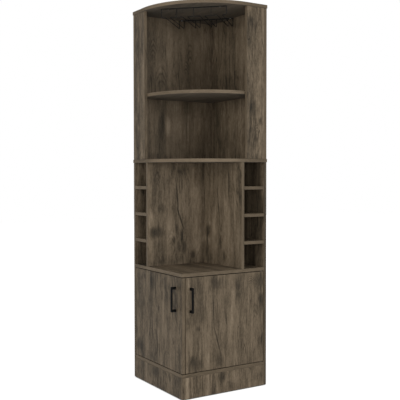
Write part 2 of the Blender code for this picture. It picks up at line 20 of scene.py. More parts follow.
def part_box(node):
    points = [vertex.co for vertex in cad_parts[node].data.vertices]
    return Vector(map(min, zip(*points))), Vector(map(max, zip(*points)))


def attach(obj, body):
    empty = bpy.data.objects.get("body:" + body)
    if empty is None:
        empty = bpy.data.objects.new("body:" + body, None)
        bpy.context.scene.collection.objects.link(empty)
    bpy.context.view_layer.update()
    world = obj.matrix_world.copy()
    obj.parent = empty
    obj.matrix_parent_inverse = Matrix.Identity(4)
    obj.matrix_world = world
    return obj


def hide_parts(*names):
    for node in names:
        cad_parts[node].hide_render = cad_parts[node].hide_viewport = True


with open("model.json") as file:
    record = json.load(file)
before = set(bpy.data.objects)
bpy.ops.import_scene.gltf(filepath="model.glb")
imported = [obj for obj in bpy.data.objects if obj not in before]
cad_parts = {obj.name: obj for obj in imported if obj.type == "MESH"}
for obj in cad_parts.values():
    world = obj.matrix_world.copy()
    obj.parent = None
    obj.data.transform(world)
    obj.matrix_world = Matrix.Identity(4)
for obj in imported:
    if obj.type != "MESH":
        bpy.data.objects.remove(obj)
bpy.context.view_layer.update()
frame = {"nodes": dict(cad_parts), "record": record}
nodes = frame["nodes"]
slots = {part["node"]: part["material_slot"] for part in frame["record"]["subparts"]}
bodies = {node: body for body, members in frame["record"]["behaviour"]["bodies"].items()
          for node in members}

# Middle of the footprint, which lies off the frame's origin because the handles stand out
middle = (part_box("top_panel")[0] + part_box("top_panel")[1]) / 2

MM = 0.001

# Camera, as fitted to the photograph's corner points
CAMERA_PLACE = (-1.8508, -2.9636, 0.9961)
CAMERA_AZIMUTH = math.radians(-32.14)
CAMERA_PITCH = math.radians(1.868)
CAMERA_ROLL = math.radians(-0.047)
FOCAL_SHARE = 1.8140         # focal length as a share of the frame's width
SENSOR = 36.0                # in millimetres, as cameras have it

# Lights: place, and power in watts
LIGHTS = {"right": ((1.4, -6.0, 1.8), 90.0), "front": ((-2.6, -4.6, 1.45), 41.0),
          "left": ((-6.0, -1.6, 1.75), 82.0), "top": ((-1.2, -1.6, 5.0), 13.5)}
LIGHT_SIZE = 2.4
LIGHT_AIM = (0.0, 0.0, 0.9)
LIGHT_TINT = {"left": (1.0, 0.982, 0.940)}
WHITE = (1.0, 1.0, 1.0, 1.0)
WORLD_LEVEL = 0.435

# Floor
FLOOR_COLOUR = (0.82, 0.82, 0.82, 1.0)
FLOOR_REACH = 12.0
FLOOR_GLOW = 0.70            # extra white that only the camera and reflections see
FLOOR_SHADE = (0.228, 0.236) # the glow starts at the cabinet's edges, this far from its middle
FAR_GLOW = 0.12              # still more white far out, where the lamps don't reach
FAR_FLOOR = (1.2, 4.0)

# Pan-head screws
HANDLE_SCREW = {"head_radius": 0.0039, "head_height": 0.0024, "shank_radius": 0.0019,
                "shank_length": 0.0240, "crown": 0.0014, "recess_reach": 0.0021,
                "recess_half": 0.00042, "recess_depth": 0.0015}
RACK_SCREW = {"head_radius": 0.0037, "head_height": 0.0022, "shank_radius": 0.0017,
              "shank_length": 0.0130, "crown": 0.0013, "recess_reach": 0.0020,
              "recess_half": 0.00040, "recess_depth": 0.0014}
RACK_SCREWS = 4
TURNED_SIDES = 32
CROWN_STEPS = 6
CROWN_POWER = 0.75           # how square the crown of a screw's head is
TIP_CHAMFER = 0.0004
RECESS_TAPER = 0.6           # size of a cross recess at its bottom, as a share of its cutter's top
SHARP_ANGLE = math.radians(32)

# Strike plates
PLATE_THICKNESS = 0.0012
PLATE_CHAMFER = 0.002
PLATE_BEVEL = 0.00015
PLATE_SHANK_RADIUS = 0.0019
PLATE_SHANK_LENGTH = 0.0087
PLATE_RECESS_REACH = 0.0017
PLATE_RECESS_HALF = 0.0004
PLATE_RECESS_DEPTH = 0.0009
GROOVE_RADIUS = 0.0031       # groove round the plate's flush screw
GROOVE_WIDTH = 0.00035
GROOVE_DEPTH = 0.0003
PLATE_RECESS_OVERRUN = 0.001 # how far the recess's cutter stands out of the plate

# Magnets in the catches' mouths, between two pole plates
MOUTH_DEPTH = 0.0012
MAGNET_LENGTH = 0.0225
MAGNET_HEIGHT = 0.0032
MAGNET_RISE = 0.0005
MAGNET_BEVEL = 0.00015
POLE_THICKNESS = 0.0010
POLE_RISE = 0.0009
POLE_GAP = 0.00005
MOUTH_GAP = 0.00002          # keeps them all off the mouth's floor

INWARD = {"left": (1.0, 0.0, 0.0), "right": (0.0, 1.0, 0.0)}   # from each front into the cabinet
DOWN = (0.0, 0.0, -1.0)


def srgb(red, green, blue):
    """A colour given in display values from 0 to 255, as linear numbers."""
    linear = []
    for value in (red, green, blue):
        share = value / 255
        linear.append(share / 12.92 if share <= 0.04045 else ((share + 0.055) / 1.055) ** 2.4)
    return (*linear, 1.0)


# Mix node: the number of its first input socket and of its output socket, by kind
MIX_SOCKETS = {"FLOAT": (2, 0), "VECTOR": (4, 1), "RGBA": (6, 2)}


class Graph:
    """Adds nodes to a shader tree. A value may be a number, a tuple or another node's output."""

    def __init__(self, tree):
        self.tree = tree

    def feed(self, sockets, values):
        """Link or set several sockets by name or number."""
        for name, value in values.items():
            if isinstance(value, bpy.types.NodeSocket):
                self.tree.links.new(value, sockets[name])
            else:
                sockets[name].default_value = value

    def node(self, kind, values=None, **properties):
        """A new node with these properties and inputs."""
        made = self.tree.nodes.new(kind)
        for name, value in properties.items():
            setattr(made, name, value)
        self.feed(made.inputs, values or {})
        return made

    def math(self, operation, first, second=0.0, third=0.0, clamp=False):
        """The result of a sum on up to three numbers."""
        values = {0: first, 1: second, 2: third}
        return self.node("ShaderNodeMath", values, operation=operation, use_clamp=clamp).outputs[0]

    def vector(self, operation, first, second):
        """The result of a sum on two vectors."""
        return self.node("ShaderNodeVectorMath", {0: first, 1: second}, operation=operation).outputs[0]

    def parts(self, vector):
        """The three parts of a vector."""
        return self.node("ShaderNodeSeparateXYZ", {0: vector}).outputs

    def joined(self, x, y, z):
        """A vector from its three parts."""
        return self.node("ShaderNodeCombineXYZ", {0: x, 1: y, 2: z}).outputs[0]

    def coordinates(self, kind="Object"):
        """The place on the object, in metres, or by kind the direction that its surface faces."""
        return self.node("ShaderNodeTexCoord").outputs[kind]

    def noise(self, place, across, along=None, detail=2.0, roughness=0.5, seed=(0.0, 0.0, 0.0)):
        """Noise from 0 to 1 whose blotches have these sizes across and along the grain.

        With one size they are as large every way.
        """
        scaled = self.vector("DIVIDE", place, (across, across, along or across))
        moved = self.vector("ADD", scaled, seed)
        values = {"Vector": moved, "Scale": 1.0, "Detail": detail, "Roughness": roughness}
        return self.node("ShaderNodeTexNoise", values).outputs[0]

    def step(self, value, low, high, start=0.0, end=1.0):
        """A smooth step from start at low to end at high."""
        values = {"Value": value, "From Min": low, "From Max": high, "To Min": start, "To Max": end}
        return self.node("ShaderNodeMapRange", values, interpolation_type="SMOOTHSTEP").outputs[0]

    def between(self, value, low, high):
        """From low where the value is 0 to high where it is 1."""
        return self.math("MULTIPLY_ADD", value, high - low, low)

    def swing(self, value, share, base):
        """The base, moved by this share of how far the value is from 0.5."""
        return self.math("MULTIPLY_ADD", self.math("SUBTRACT", value, 0.5), share, base)

    def mix(self, share, first, second, kind="RGBA"):
        """A blend of two colours or, by kind, of two numbers or two vectors."""
        start, end = MIX_SOCKETS[kind]
        values = {0: share, start: first, start + 1: second}
        return self.node("ShaderNodeMix", values, data_type=kind).outputs[end]

    def ramp(self, value, stops):
        """A colour between the nearest two stops, which are pairs of a value and a colour."""
        made = self.node("ShaderNodeValToRGB", {"Fac": value})
        elements = made.color_ramp.elements
        elements[0].position, elements[0].color = stops[0]
        elements[1].position, elements[1].color = stops[-1]
        for position, colour in stops[1:-1]:
            elements.new(position).color = colour
        return made.outputs["Color"]

    def bump(self, height, strength, distance):
        """The surface's direction, tilted by this relief."""
        values = {"Height": height, "Strength": strength, "Distance": distance}
        return self.node("ShaderNodeBump", values).outputs[0]


def new_group(name, inputs, outputs):
    """A node group, with its graph and the sockets that it is given and that it feeds."""
    tree = bpy.data.node_groups.new(name, "ShaderNodeTree")
    for label, kind in inputs:
        tree.interface.new_socket(label, in_out="INPUT", socket_type=kind)
    for label, kind in outputs:
        tree.interface.new_socket(label, in_out="OUTPUT", socket_type=kind)
    source = tree.nodes.new("NodeGroupInput")
    sink = tree.nodes.new("NodeGroupOutput")
    return tree, Graph(tree), source.outputs, sink.inputs


def number_sockets(*labels):
    """Sockets for plain numbers, as new_group takes them."""
    return [(label, "NodeSocketFloat") for label in labels]


def new_material(name):
    """A material, with its graph and the inputs of its shader."""
    material = bpy.data.materials.new(name)
    material.use_nodes = True
    return material, Graph(material.node_tree), material.node_tree.nodes["Principled BSDF"].inputs


# Layers of noise in the print: size across and along the grain, detail, roughness and seed
LAYERS = {
    "patches": (0.050, 0.420, 2.0, 0.50),
    "clouds": (0.034, 0.085, 3.0, 0.60, (7.0, 3.0, 1.0)),
    "streaks": (0.014, 0.230, 4.0, 0.62, (2.0, 9.0, 4.0)),
    "threads": (0.0052, 0.034, 3.0, 0.65, (5.0, 1.0, 8.0)),
    "flecks": (0.0055, 0.011, 2.0, 0.60, (6.0, 2.0, 9.0)),
    "pores": (0.0012, 0.022, 2.0, 0.60, (3.0, 6.0, 2.0)),
    "drift": (0.085, 0.360, 1.5, 0.45, (1.0, 4.0, 6.0)),
    "ringed": (0.110, 0.300, 1.0, 0.50, (8.0, 2.0, 5.0)),
    "fold": (0.060, 0.620, 2.0, 0.50, (4.0, 7.0, 9.0)),
    "cracked": (0.050, 0.120, 2.0, 0.50, (6.0, 5.0, 3.0)),
    "spots": (0.048, 0.095, 2.0, 0.50, (9.0, 8.0, 7.0)),
}
FRAY_LAYER = (0.012, 0.050, 3.0, 0.60)
CHIPS_LAYER = (0.0016, 0.0040, 2.0, 0.60)

# How much each layer moves the tone round its middle
MIDDLE_TONE = 0.515
TONE_SHARES = {"patches": 1.10, "clouds": 0.50, "streaks": 0.76, "threads": 0.76, "flecks": 0.42}

# How much the rings, cracks and pores darken it
RING_DEPTH = 0.20
CRACK_DEPTH = 0.38
PORE_DEPTH = 0.10

# Where the noise lets them and the smudges fade in
RINGS_SHOWN = (0.48, 0.62)
CRACKS_SHOWN = (0.50, 0.62)
PORES_SHOWN = (0.56, 0.70)
SMUDGES_SHOWN = (0.62, 0.80)

RING_PITCH = 0.030
RING_DRIFT = 13.0            # how many rings the drift moves them by at the most
RING_SHARPNESS = 3.0
CRACK_REACH = 0.010          # how far from the middle of the fold's noise a crack goes
RELIEF_SHARE = 0.5

# Marks and arches. They fade from the first share of their half size to the second.
MARK_FADE = (0.15, 1.15)
ARCH_FADE = (0.45, 1.10)
ARCH_BOW = 1.3               # how far an arch's legs hang down
ARCH_WAVER = 0.5             # share of the fray that bends its rings
ARCH_FRAY = 0.6              # and that bends its outline
ARCH_SHARPNESS = 2.0
FRAY = 0.45                  # how far noise bends a mark's outline, as a share of its half size
MARK_DEPTH = 0.55            # how much a mark of strength 1 darkens the tone
MARK_GREY = 0.30             # and how much a dark one adds to the grey smudges
ARCH_DEPTH = 0.45


def oak_group():
    """The printed oak: its tone from dark to light, its grey smudges and its relief.

    Place is in metres: X across the grain, Y through the board and Z along the grain.
    """
    tree, graph, given, result = new_group(
        "printed_oak", [("Place", "NodeSocketVector")], number_sockets("Tone", "Smudge", "Relief"))
    place = given["Place"]
    layers = {name: graph.noise(place, *layer) for name, layer in LAYERS.items()}

    # Growth rings: wandering lines that close into arches where the drift turns back
    phase = graph.math("DIVIDE", graph.parts(place)[0], RING_PITCH)
    phase = graph.math("MULTIPLY_ADD", layers["drift"], RING_DRIFT, phase)
    wave = graph.math("SINE", graph.math("MULTIPLY", phase, 2 * math.pi))
    rings = graph.math("POWER", graph.math("MULTIPLY_ADD", wave, 0.5, 0.5), RING_SHARPNESS)
    rings = graph.math("MULTIPLY", rings, graph.step(layers["ringed"], *RINGS_SHOWN))

    # Long thin cracks that follow the grain
    distance = graph.math("ABSOLUTE", graph.math("SUBTRACT", layers["fold"], 0.5))
    cracks = graph.step(distance, 0.0, CRACK_REACH, 1.0, 0.0)
    cracks = graph.math("MULTIPLY", cracks, graph.step(layers["cracked"], *CRACKS_SHOWN))
    pores = graph.step(layers["pores"], *PORES_SHOWN)

    tone = MIDDLE_TONE
    for name, share in TONE_SHARES.items():
        tone = graph.swing(layers[name], share, tone)
    for dark, depth in ((rings, RING_DEPTH), (cracks, CRACK_DEPTH), (pores, PORE_DEPTH)):
        tone = graph.math("MULTIPLY_ADD", dark, -depth, tone)
    relief = graph.math("SUBTRACT", graph.math("ADD", layers["threads"], layers["pores"]), cracks)
    graph.feed(result, {"Tone": tone, "Smudge": graph.step(layers["spots"], *SMUDGES_SHOWN),
                        "Relief": graph.math("MULTIPLY", relief, RELIEF_SHARE)})
    return tree


def mark_group():
    """One dark or light mark, a spindle drawn out along the grain with a frayed edge: print on most
    boards, painted shade and painted light on some.
    """
    tree, graph, given, result = new_group(
        "oak_mark",
        number_sockets("Across", "Along", "Fray", "Centre", "Height", "Width", "Length", "Lean"),
        number_sockets("Strength"))
    up = graph.math("SUBTRACT", given["Along"], given["Height"])
    side = graph.math("SUBTRACT", given["Across"], given["Centre"])
    side = graph.math("SUBTRACT", side, graph.math("MULTIPLY", up, given["Lean"]))
    side = graph.math("DIVIDE", side, given["Width"])
    up = graph.math("DIVIDE", up, given["Length"])
    spread = graph.math("MULTIPLY_ADD", side, side, graph.math("MULTIPLY", up, up))
    reach = graph.math("ADD", graph.math("SQRT", spread), given["Fray"])
    graph.feed(result, {"Strength": graph.step(reach, *MARK_FADE, 1.0, 0.0)})
    return tree


def arch_group():
    """Nested arches of growth rings round one place, with a frayed edge."""
    tree, graph, given, result = new_group(
        "oak_arches",
        number_sockets("Across", "Along", "Fray", "Centre", "Height", "Width", "Length", "Lines"),
        number_sockets("Strength"))
    up = graph.math("DIVIDE", graph.math("SUBTRACT", given["Along"], given["Height"]), given["Length"])
    side = graph.math("DIVIDE", graph.math("SUBTRACT", given["Across"], given["Centre"]), given["Width"])
    square = graph.math("MULTIPLY", side, side)
    bow = graph.math("MULTIPLY_ADD", square, ARCH_BOW, up)
    bow = graph.math("MULTIPLY_ADD", given["Fray"], ARCH_WAVER, bow)
    wave = graph.math("SINE", graph.math("MULTIPLY", bow, given["Lines"]))
    lines = graph.math("POWER", graph.math("MULTIPLY_ADD", wave, 0.5, 0.5), ARCH_SHARPNESS)
    spread = graph.math("MULTIPLY_ADD", up, up, square)
    reach = graph.math("MULTIPLY_ADD", given["Fray"], ARCH_FRAY, graph.math("SQRT", spread))
    shown = graph.step(reach, *ARCH_FADE, 1.0, 0.0)
    graph.feed(result, {"Strength": graph.math("MULTIPLY", lines, shown)})
    return tree


OAK = oak_group()
MARK = mark_group()
ARCHES = arch_group()

# Colours of the print, from its darkest tone to its lightest
OAK_STOPS = [(0.0, srgb(42, 37, 30)), (0.28, srgb(71, 62, 50)), (0.5, srgb(97, 85, 69)),
             (0.74, srgb(119, 105, 87)), (1.0, srgb(141, 126, 106))]
SMUDGE_COLOUR = srgb(56, 51, 41)
SMUDGE_SHARE = 0.30
LEVEL_CONTRAST = 0.75        # level boards look calmer than upright ones
CONTRASTS = {"back_left_upper_panel": 0.72, "back_right_upper_panel": 0.86, "right_door": 0.88,
             "left_partition": 0.86}
SHADES = {"right_partition": 0.10, "right_door": 0.03, "right_plinth_board": 0.07,
          "left_plinth_board": -0.07, "back_right_upper_panel": 0.01, "upper_right_stile": 0.04,
          "upper_left_stile": -0.03, "back_right_lower_panel": 0.02}
SEED_STEP = (0.731, 1.137, 2.371)    # how far each board's print is from the one before

# The plinth boards carry on the print of the doors above them
SHARED_PRINT = {"left_plinth_board": "left_door", "right_plinth_board": "right_door"}

# Edge bands are calmer than the flat faces and have tones of their own. They fade in where the
# surface turns away from the board's thickness.
EDGE_TURN = (0.80, 0.60)
EDGE_CONTRAST = 0.45
EDGE_TONE = 0.53
EDGE_TONES = {"back_left_lower_panel": 0.46, "back_right_lower_panel": 0.36, "left_partition": 0.46,
              "right_partition": 0.52, "top_panel": 0.65, "middle_panel": 0.66, "upper_shelf": 0.63,
              "right_divider_1": 0.48, "right_divider_2": 0.46, "right_divider_3": 0.46}

# Undersides of the level boards, lightened and greyed as painted bounce light from the floor, and the
# sealed chipboard on the ends of the upright ones, made dark as painted shade, which shows mostly in
# the gaps above and below the doors. They fade in where the surface turns this far down, or this far
# up or down.
UNDERSIDE_PAINTED_LIGHT_COLOUR = srgb(108, 102, 94)
UNDERSIDE_PAINTED_LIGHT_SHARE = 0.55
UNDERSIDE_PAINTED_LIGHT_TURN = (-0.6, -0.8)
SEALED_AND_SHADED_DARK = srgb(36, 30, 24)
SEALED_AND_SHADED_LIGHT = srgb(62, 52, 41)
SEALED_AND_SHADED_TURN = (0.7, 0.9)

BOARD_ROUGHNESS = (0.62, 0.50)       # of the darkest and of the lightest tone
BOARD_GLOSS = 0.12
BOARD_BUMP = (0.25, 0.0004)

# Marks in millimetres, by board: across, height, half width, half length and strength. Most are marks
# of the print; the rows noted as such below are painted shade and painted light.
# Places count from the footprint's middle and the floor. On level boards X is across and Y is the
# height. A strength below 0 is a light mark. Most of these rows weren't chosen as sizes: they were
# read by eye in the photograph, and a separate program worked out where they lie on the boards.
PRINT_AND_PAINTED_LIGHT_MARKS = {
    "right_door": [
        (-50, 510, 43, 34, 0.42), (70, 470, 18, 55, 0.42), (200, 420, 17, 42, 0.45),
        (200, 215, 17, 36, 0.38), (-168, 157, 45, 44, 0.72), (-146, 311, 12, 14, 0.45),
        (-35, 155, 23, 42, 0.45), (-195, 266, 20, 90, -0.35), (-203, 470, 17, 120, -0.75),
        (-150, 375, 53, 226, 0.30), (-20, 513, 28, 46, 0.38), (69, 502, 35, 76, 0.35),
        (185, 502, 37, 59, 0.50), (41, 341, 35, 163, -0.28), (-15, 314, 28, 58, -0.45),
        (167, 299, 26, 95, -0.42), (47, 167, 28, 70, -0.28), (121, 417, 22, 59, -0.15),
        (197, 401, 22, 83, 0.40), (-166, 502, 39, 90, 0.22), (-108, 366, 23, 125, 0.22),
        (-211, 323, 13, 157, -0.30), (69, 432, 21, 35, 0.25), (18, 496, 24, 81, -0.20),
        (106, 499, 22, 53, -0.25), (-20, 278, 35, 81, -0.18), (144, 207, 36, 47, -0.18),
        (209, 304, 15, 84, 0.20), (200, 470, 12, 25, 0.30), (35, 482, 14, 20, 0.25),
        (-37, 398, 6, 40, -0.25)],
    "left_door": [
        (40, 497, 38, 54, 0.45), (-93, 452, 29, 54, 0.35), (-25, 420, 42, 176, -0.38),
        (174, 174, 38, 43, 0.75), (-207, 204, 12, 48, 0.50), (-207, 321, 10, 36, 0.40),
        (-82, 516, 29, 52, 0.15), (101, 170, 26, 72, -0.22), (-223.5, 330, 3.2, 250, 0.40),
        (167, 402, 60, 160, 0.32), (-173, 269, 34, 159, -0.28), (-104, 191, 29, 116, 0.18),
        (31, 140, 37, 30, 0.30), (185, 157, 47, 50, 0.12), (-78, 506, 29, 46, 0.20),
        (-177, 361, 33, 57, -0.25), (100, 105, 120, 80, 0.20), (30, 221, 37, 84, 0.18),
        (-47, 142, 36, 47, -0.15)],
    "left_plinth_board": [
        (16, 72, 32, 36, 0.55), (-66, 62, 22, 55, -0.50), (62, 80, 40, 60, 0.20)],
    "right_plinth_board": [
        (-16, 80, 32, 34, 0.55), (28, 32, 32, 29, 0.35), (-207, 60, 19, 110, -0.55),
        (58, 58, 36, 47, -0.35), (203, 46, 30, 36, 0.30), (-48, 78, 21, 23, 0.18),
        (52, 87, 28, 23, -0.20)],
    "left_partition": [
        (-184, 728, 43, 34, 0.80), (-156, 844, 29, 29, 0.35), (-40, 1022, 42, 30, 0.25),
        (-160, 917, 55, 110, 0.16), (-55, 951, 3, 45, 0.60), (-41, 951, 3, 45, 0.55),
        (-1, 865, 6, 36, 0.40), (-19, 864, 3, 64, 0.40), (-87, 684, 11, 30, 0.60),
        (-71, 739, 11, 30, 0.50), (-58, 647, 12, 44, 0.45), (-41, 698, 7, 52, 0.60),
        (-27, 646, 14, 46, 0.60), (24, 609, 21, 27, 0.65), (-116, 729, 17, 110, -0.40),
        (-212, 785, 20, 70, -0.60), (-212, 630, 18, 100, -0.60), (36, 800, 38, 200, -0.32),
        (-209, 1028, 27, 48, -0.35), (-203, 941, 27, 72, -0.20), (-115, 1028, 49, 49, -0.30),
        (-93, 940, 21, 98, -0.22), (5, 1029, 65, 56, -0.22), (51, 894, 59, 137, -0.42),
        (42, 649, 66, 113, -0.42), (-97, 707, 22, 25, -0.25), (-185, 651, 34, 91, 0.28),
        (-155, 596, 62, 30, 0.20), (-176, 801, 28, 54, 0.18), (-104, 813, 28, 49, 0.13),
        (-137, 941, 17, 61, 0.15), (-51, 590, 29, 25, 0.22), (-13, 845, 32, 50, -0.42),
        (-64, 1010, 20, 50, 0.25), (-92, 1048, 28, 37, -0.15), (16, 969, 36, 25, -0.12),
        (-221, 673, 20, 48, -0.30), (-93, 710, 28, 31, -0.20), (-59, 738, 36, 25, -0.20),
        (63, 678, 37, 126, -0.18), (-138, 581, 98, 18, 0.22), (-224, 815, 14, 420, -0.22)],
    # Its row at -228 across darkens the face in a band along its front edge, over the partition's whole
    # height.
    "right_partition": [
        (55, 726, 32, 40, 0.85), (70, 644, 26, 48, 0.40), (-55, 675, 12, 46, 0.65),
        (-88, 612, 18, 32, 0.55), (-126, 945, 11, 110, 0.45), (-53, 1014, 32, 30, 0.15),
        (-216, 895, 13, 46, 0.25), (3, 757, 16, 64, -0.45), (-88, 863, 24, 60, -0.30),
        (66, 820, 26, 260, 0.24), (56, 944, 29, 106, 0.22), (-94, 941, 32, 84, -0.25),
        (52, 615, 46, 69, 0.38), (-145, 666, 63, 95, -0.12), (-86, 1037, 32, 42, -0.18),
        (-25, 1028, 28, 49, 0.25), (-195, 863, 36, 47, -0.28), (2, 925, 34, 61, -0.22),
        (47, 585, 57, 31, 0.28), (-60, 610, 44, 61, 0.18), (-228, 815, 22, 420, 0.42),
        (-205, 1020, 20, 60, 0.25)],
    "back_left_lower_panel": [
        (-190, 1010, 87, 96, -0.35), (-190, 620, 87, 72, 0.25)],
    # Its light rows from 1700 mm up are painted light, against the shadow under the top panel.
    "back_left_upper_panel": [
        (-34, 1570, 14, 168, -0.30), (-79, 1255, 18, 85, 0.50), (-43, 1245, 18, 70, -0.55),
        (61, 1220, 4, 160, 0.40), (73, 1240, 7, 130, -0.40), (-55, 1560, 26, 150, -0.15),
        (0, 1220, 220, 170, -0.18), (-26, 1705, 36, 138, -0.35), (96, 1713, 90, 128, -0.28),
        (169, 1715, 54, 168, -0.15), (-21, 1354, 44, 57, -0.18), (150, 1316, 46, 142, -0.25),
        (-12, 1248, 22, 57, -0.18), (-95, 1634, 29, 75, 0.28), (27, 1518, 37, 114, 0.18),
        (-90, 1180, 43, 138, 0.38), (14, 1142, 22, 76, 0.18), (56, 1214, 19, 141, -0.25),
        (120, 1252, 46, 77, -0.15), (-29, 1373, 36, 38, -0.12), (-121, 1358, 28, 37, -0.12),
        (-47, 1125, 36, 38, -0.18), (-87, 1450, 29, 25, 0.25), (-116, 1099, 43, 25, 0.20),
        (-104, 1529, 36, 37, -0.15), (-23, 1525, 36, 50, -0.12), (108, 1509, 30, 38, -0.12),
        (130, 1770, 50, 60, -0.28), (-65, 1325, 32, 60, 0.22), (-70, 1700, 34, 80, 0.18),
        (-155, 1450, 22, 55, 0.25), (170, 1360, 36, 45, -0.20)],
    # Its light row at 1732 mm is painted light, against the shadow under the top panel.
    "back_right_upper_panel": [
        (60, 1300, 200, 110, -0.30), (104, 1732, 51, 101, -0.32), (63, 1524, 34, 151, 0.25),
        (178, 1466, 106, 58, 0.15), (-12, 1317, 49, 124, -0.38), (-12, 1188, 54, 99, -0.45),
        (172, 1230, 70, 190, 0.30), (58, 1171, 39, 126, 0.15), (113, 1224, 34, 102, -0.18),
        (68, 1454, 56, 38, 0.22), (-3, 1684, 32, 37, 0.22), (-60, 1490, 26, 130, 0.28)],
    "upper_right_stile": [
        (142, 1315, 11, 36, 0.50), (196, 1256, 10, 20, 0.55), (142, 1212, 12, 22, 0.30),
        (140, 1545, 26, 50, -0.25), (148, 1480, 20, 50, -0.28), (141, 1722, 20, 32, 0.38),
        (133, 1667, 36, 98, 0.30), (197, 1510, 22, 93, -0.28), (171, 1228, 51, 47, -0.18),
        (177, 1111, 58, 35, -0.25), (157, 1312, 36, 41, 0.28), (174, 1378, 15, 23, 0.20),
        (119, 1194, 18, 81, 0.22), (188, 1682, 15, 105, -0.15), (113, 1490, 14, 160, 0.28),
        (171, 1503, 22, 47, 0.15), (201, 1177, 22, 59, -0.25), (113, 1605, 28, 23, 0.20),
        (189, 1252, 22, 29, 0.20), (119, 1185, 14, 81, 0.15), (130, 1330, 45, 60, 0.12),
        (136, 1525, 10, 40, -0.28), (207, 1470, 10, 60, -0.30), (165, 1577, 25, 22, -0.20),
        (148, 1450, 12, 22, -0.20)],
    "upper_left_stile": [
        (189, 1635, 14, 48, 0.45), (179, 1271, 14, 41, 0.50), (138, 1498, 20, 72, -0.22),
        (140, 1221, 34, 168, -0.22), (205, 1726, 40, 73, 0.40), (211, 1615, 40, 43, 0.30),
        (197, 1327, 40, 55, 0.40), (198, 1219, 40, 61, 0.20), (112, 1582, 32, 83, 0.15),
        (167, 1101, 66, 30, -0.25), (114, 1349, 38, 60, -0.15), (205, 1385, 36, 50, 0.22)],
    # Painted shade: the rows of the top, middle, shelf and counter boards darken the ends of their
    # curved front edges.
    "top_panel": [
        (-200, 160, 100, 120, 0.75), (-234.5, 160, 20, 120, 0.35), (175, -234.5, 120, 20, 0.65)],
    "middle_panel": [
        (-234.5, 165, 20, 150, 0.95), (165, -234.5, 150, 20, 0.95)],
    "upper_shelf": [
        (120, -205, 60, 50, 0.50)],
    "counter_panel": [
        (-220, 170, 60, 90, 0.60)],
    # Painted shade: darkens the right lower back panel along its front edge, on its inside face and its
    # edge band.
    "back_right_lower_panel": [
        (-205, 790, 45, 190, 0.45)],
}

# Cracks that cross the grain at a slant: the same, and how far they lean across for each millimetre
# of height
SLANTED = {
    "right_door": [
        (-67, 390, 4, 110, 0.60, -0.04), (-45, 245, 5, 90, 0.65, -0.28),
        (3, 340, 4, 55, 0.45, -0.14)],
    "left_door": [
        (46, 310, 4, 150, 0.60, 0.09)],
    "left_partition": [
        (-68, 900, 5, 110, 0.85, -0.08), (-50, 789, 6, 60, 0.85, -0.36)],
    "right_partition": [
        (-37, 854, 5, 130, 0.70, 0.13)],
}

# Arches of the print: across, height, half width, half length, closeness of the rings and strength.
# With a closeness of 12 there are about two rings in each half length.
ARCHED = {
    "back_left_upper_panel": [
        (-85, 1500, 40, 62, 11, 0.45), (-130, 1640, 26, 50, 12, 0.45), (85, 1630, 28, 75, 14, 0.45),
        (60, 1555, 24, 36, 12, 0.35)],
    "back_right_upper_panel": [
        (60, 1260, 30, 70, 14, 0.30)],
    "right_door": [
        (140, 515, 30, 30, 16, 0.45), (165, 360, 28, 60, 14, 0.30)],
    "left_door": [
        (170, 470, 26, 50, 14, 0.35)],
    "left_partition": [
        (-105, 690, 30, 50, 14, 0.35), (-180, 980, 22, 45, 12, 0.30)],
    "right_partition": [
        (-60, 700, 26, 60, 14, 0.28)],
    "upper_right_stile": [
        (176, 1218, 26, 34, 14, 0.40), (190, 1700, 22, 45, 12, 0.22)],
}


def footprint_parts(graph):
    """The place in X, Y and Z, counted from the footprint's middle and the floor."""
    return graph.parts(graph.vector("SUBTRACT", graph.coordinates(), (middle.x, middle.y, 0.0)))


def board_axes(name):
    """A board's axes through its thickness, along its grain and across it.

    The grain is upright on an upright board and runs along Y on a level one.
    """
    low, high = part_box(name)
    size = high - low
    thin = min(range(3), key=lambda axis: size[axis])
    along = 1 if thin == 2 else 2
    return thin, along, 3 - thin - along


def grain_place(graph, parts, axes, band):
    """The place as the print counts it: across the grain, through the board and along the grain.

    The grain of a level board's edge band runs along the edge, which X minus Y follows.
    """
    thin, along, across = axes
    face = graph.joined(parts[across], parts[thin], parts[along])
    if thin == 2:
        edge = graph.joined(parts[2], 0.0, graph.math("SUBTRACT", parts[0], parts[1]))
    else:
        edge = graph.joined(graph.math("ADD", parts[0], parts[1]), 0.0, parts[2])
    return graph.mix(band, face, edge, "VECTOR")


def mark_strength(graph, group, spot, values):
    """How strongly a mark shows at each place. Its spot has the middle and the half sizes."""
    sizes = {label: size * MM for label, size in zip(("Centre", "Height", "Width", "Length"), spot)}
    return graph.node("ShaderNodeGroup", {**values, **sizes}, node_tree=group).outputs["Strength"]


def add_marks(graph, name, place, parts, axes, tone, grey):
    """The tone and the grey smudges of a board with its own marks, painted shade and painted light among
    them, and arches put in.
    """
    fray = graph.swing(graph.noise(place, *FRAY_LAYER), 2 * FRAY, 0.0)
    shared = {"Across": parts[axes[2]], "Along": parts[axes[1]], "Fray": fray}
    marks = [(*mark, 0.0) for mark in PRINT_AND_PAINTED_LIGHT_MARKS.get(name, [])] + SLANTED.get(name, [])
    for *spot, strength, lean in marks:
        shade = mark_strength(graph, MARK, spot, {**shared, "Lean": lean})
        tone = graph.math("MULTIPLY_ADD", shade, -MARK_DEPTH * strength, tone)
        if strength > 0:
            grey = graph.math("MULTIPLY_ADD", shade, MARK_GREY * strength, grey)
    for *spot, closeness, strength in ARCHED.get(name, []):
        shade = mark_strength(graph, ARCHES, spot, {**shared, "Lines": closeness})
        tone = graph.math("MULTIPLY_ADD", shade, -ARCH_DEPTH * strength, tone)
    return tone, grey


